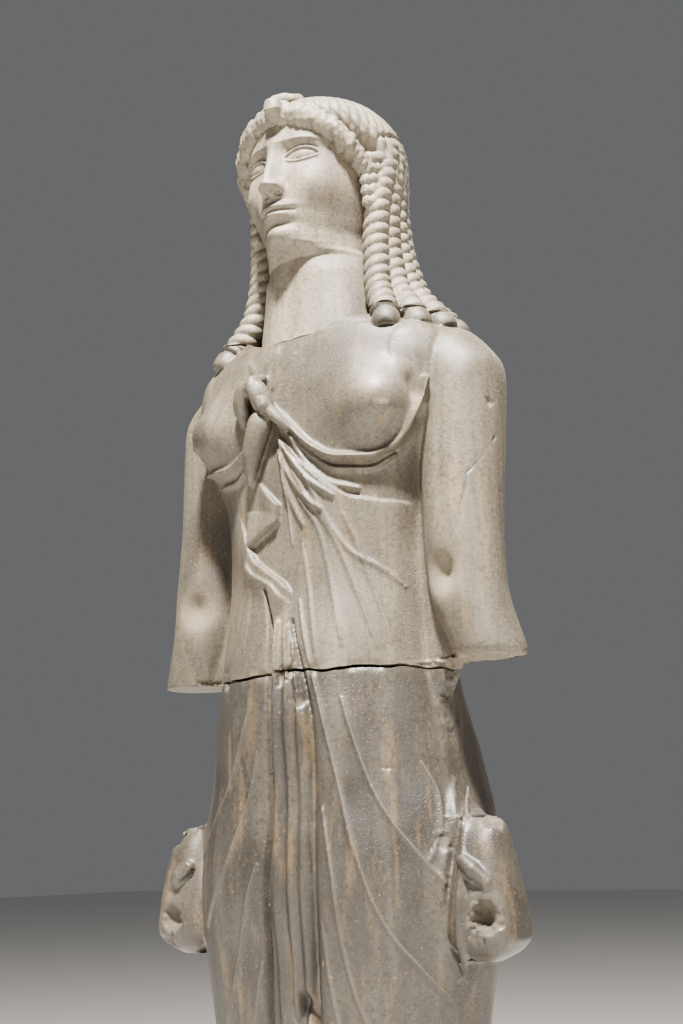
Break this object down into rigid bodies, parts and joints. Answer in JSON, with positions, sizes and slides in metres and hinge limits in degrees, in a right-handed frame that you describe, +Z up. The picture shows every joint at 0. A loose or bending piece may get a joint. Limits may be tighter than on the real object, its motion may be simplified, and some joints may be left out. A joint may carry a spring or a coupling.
{
  "type": "woman statue",
  "caption": "Standing woman in a knotted dress, carved in dark hard stone in one with a low base, broken through the hips and neck and set up again.",
  "frame": {"origin": "middle of the base's underside", "axes": "+Z up along the standing figure, which faces -Y, its own left hand towards +X"},
  "size_m": [0.66, 0.78, 2.1535],
  "materials": {
    "head_stone": "smoothed dark hard stone, worn matt",
    "upper_stone": "smoothed dark hard stone, worn matt",
    "lower_stone": "polished dark hard stone"
  },
  "bodies": {
    "root": {"head": "head_stone", "upper_body": "upper_stone", "lower_body": "lower_stone"}
  },
  "joints": []
}
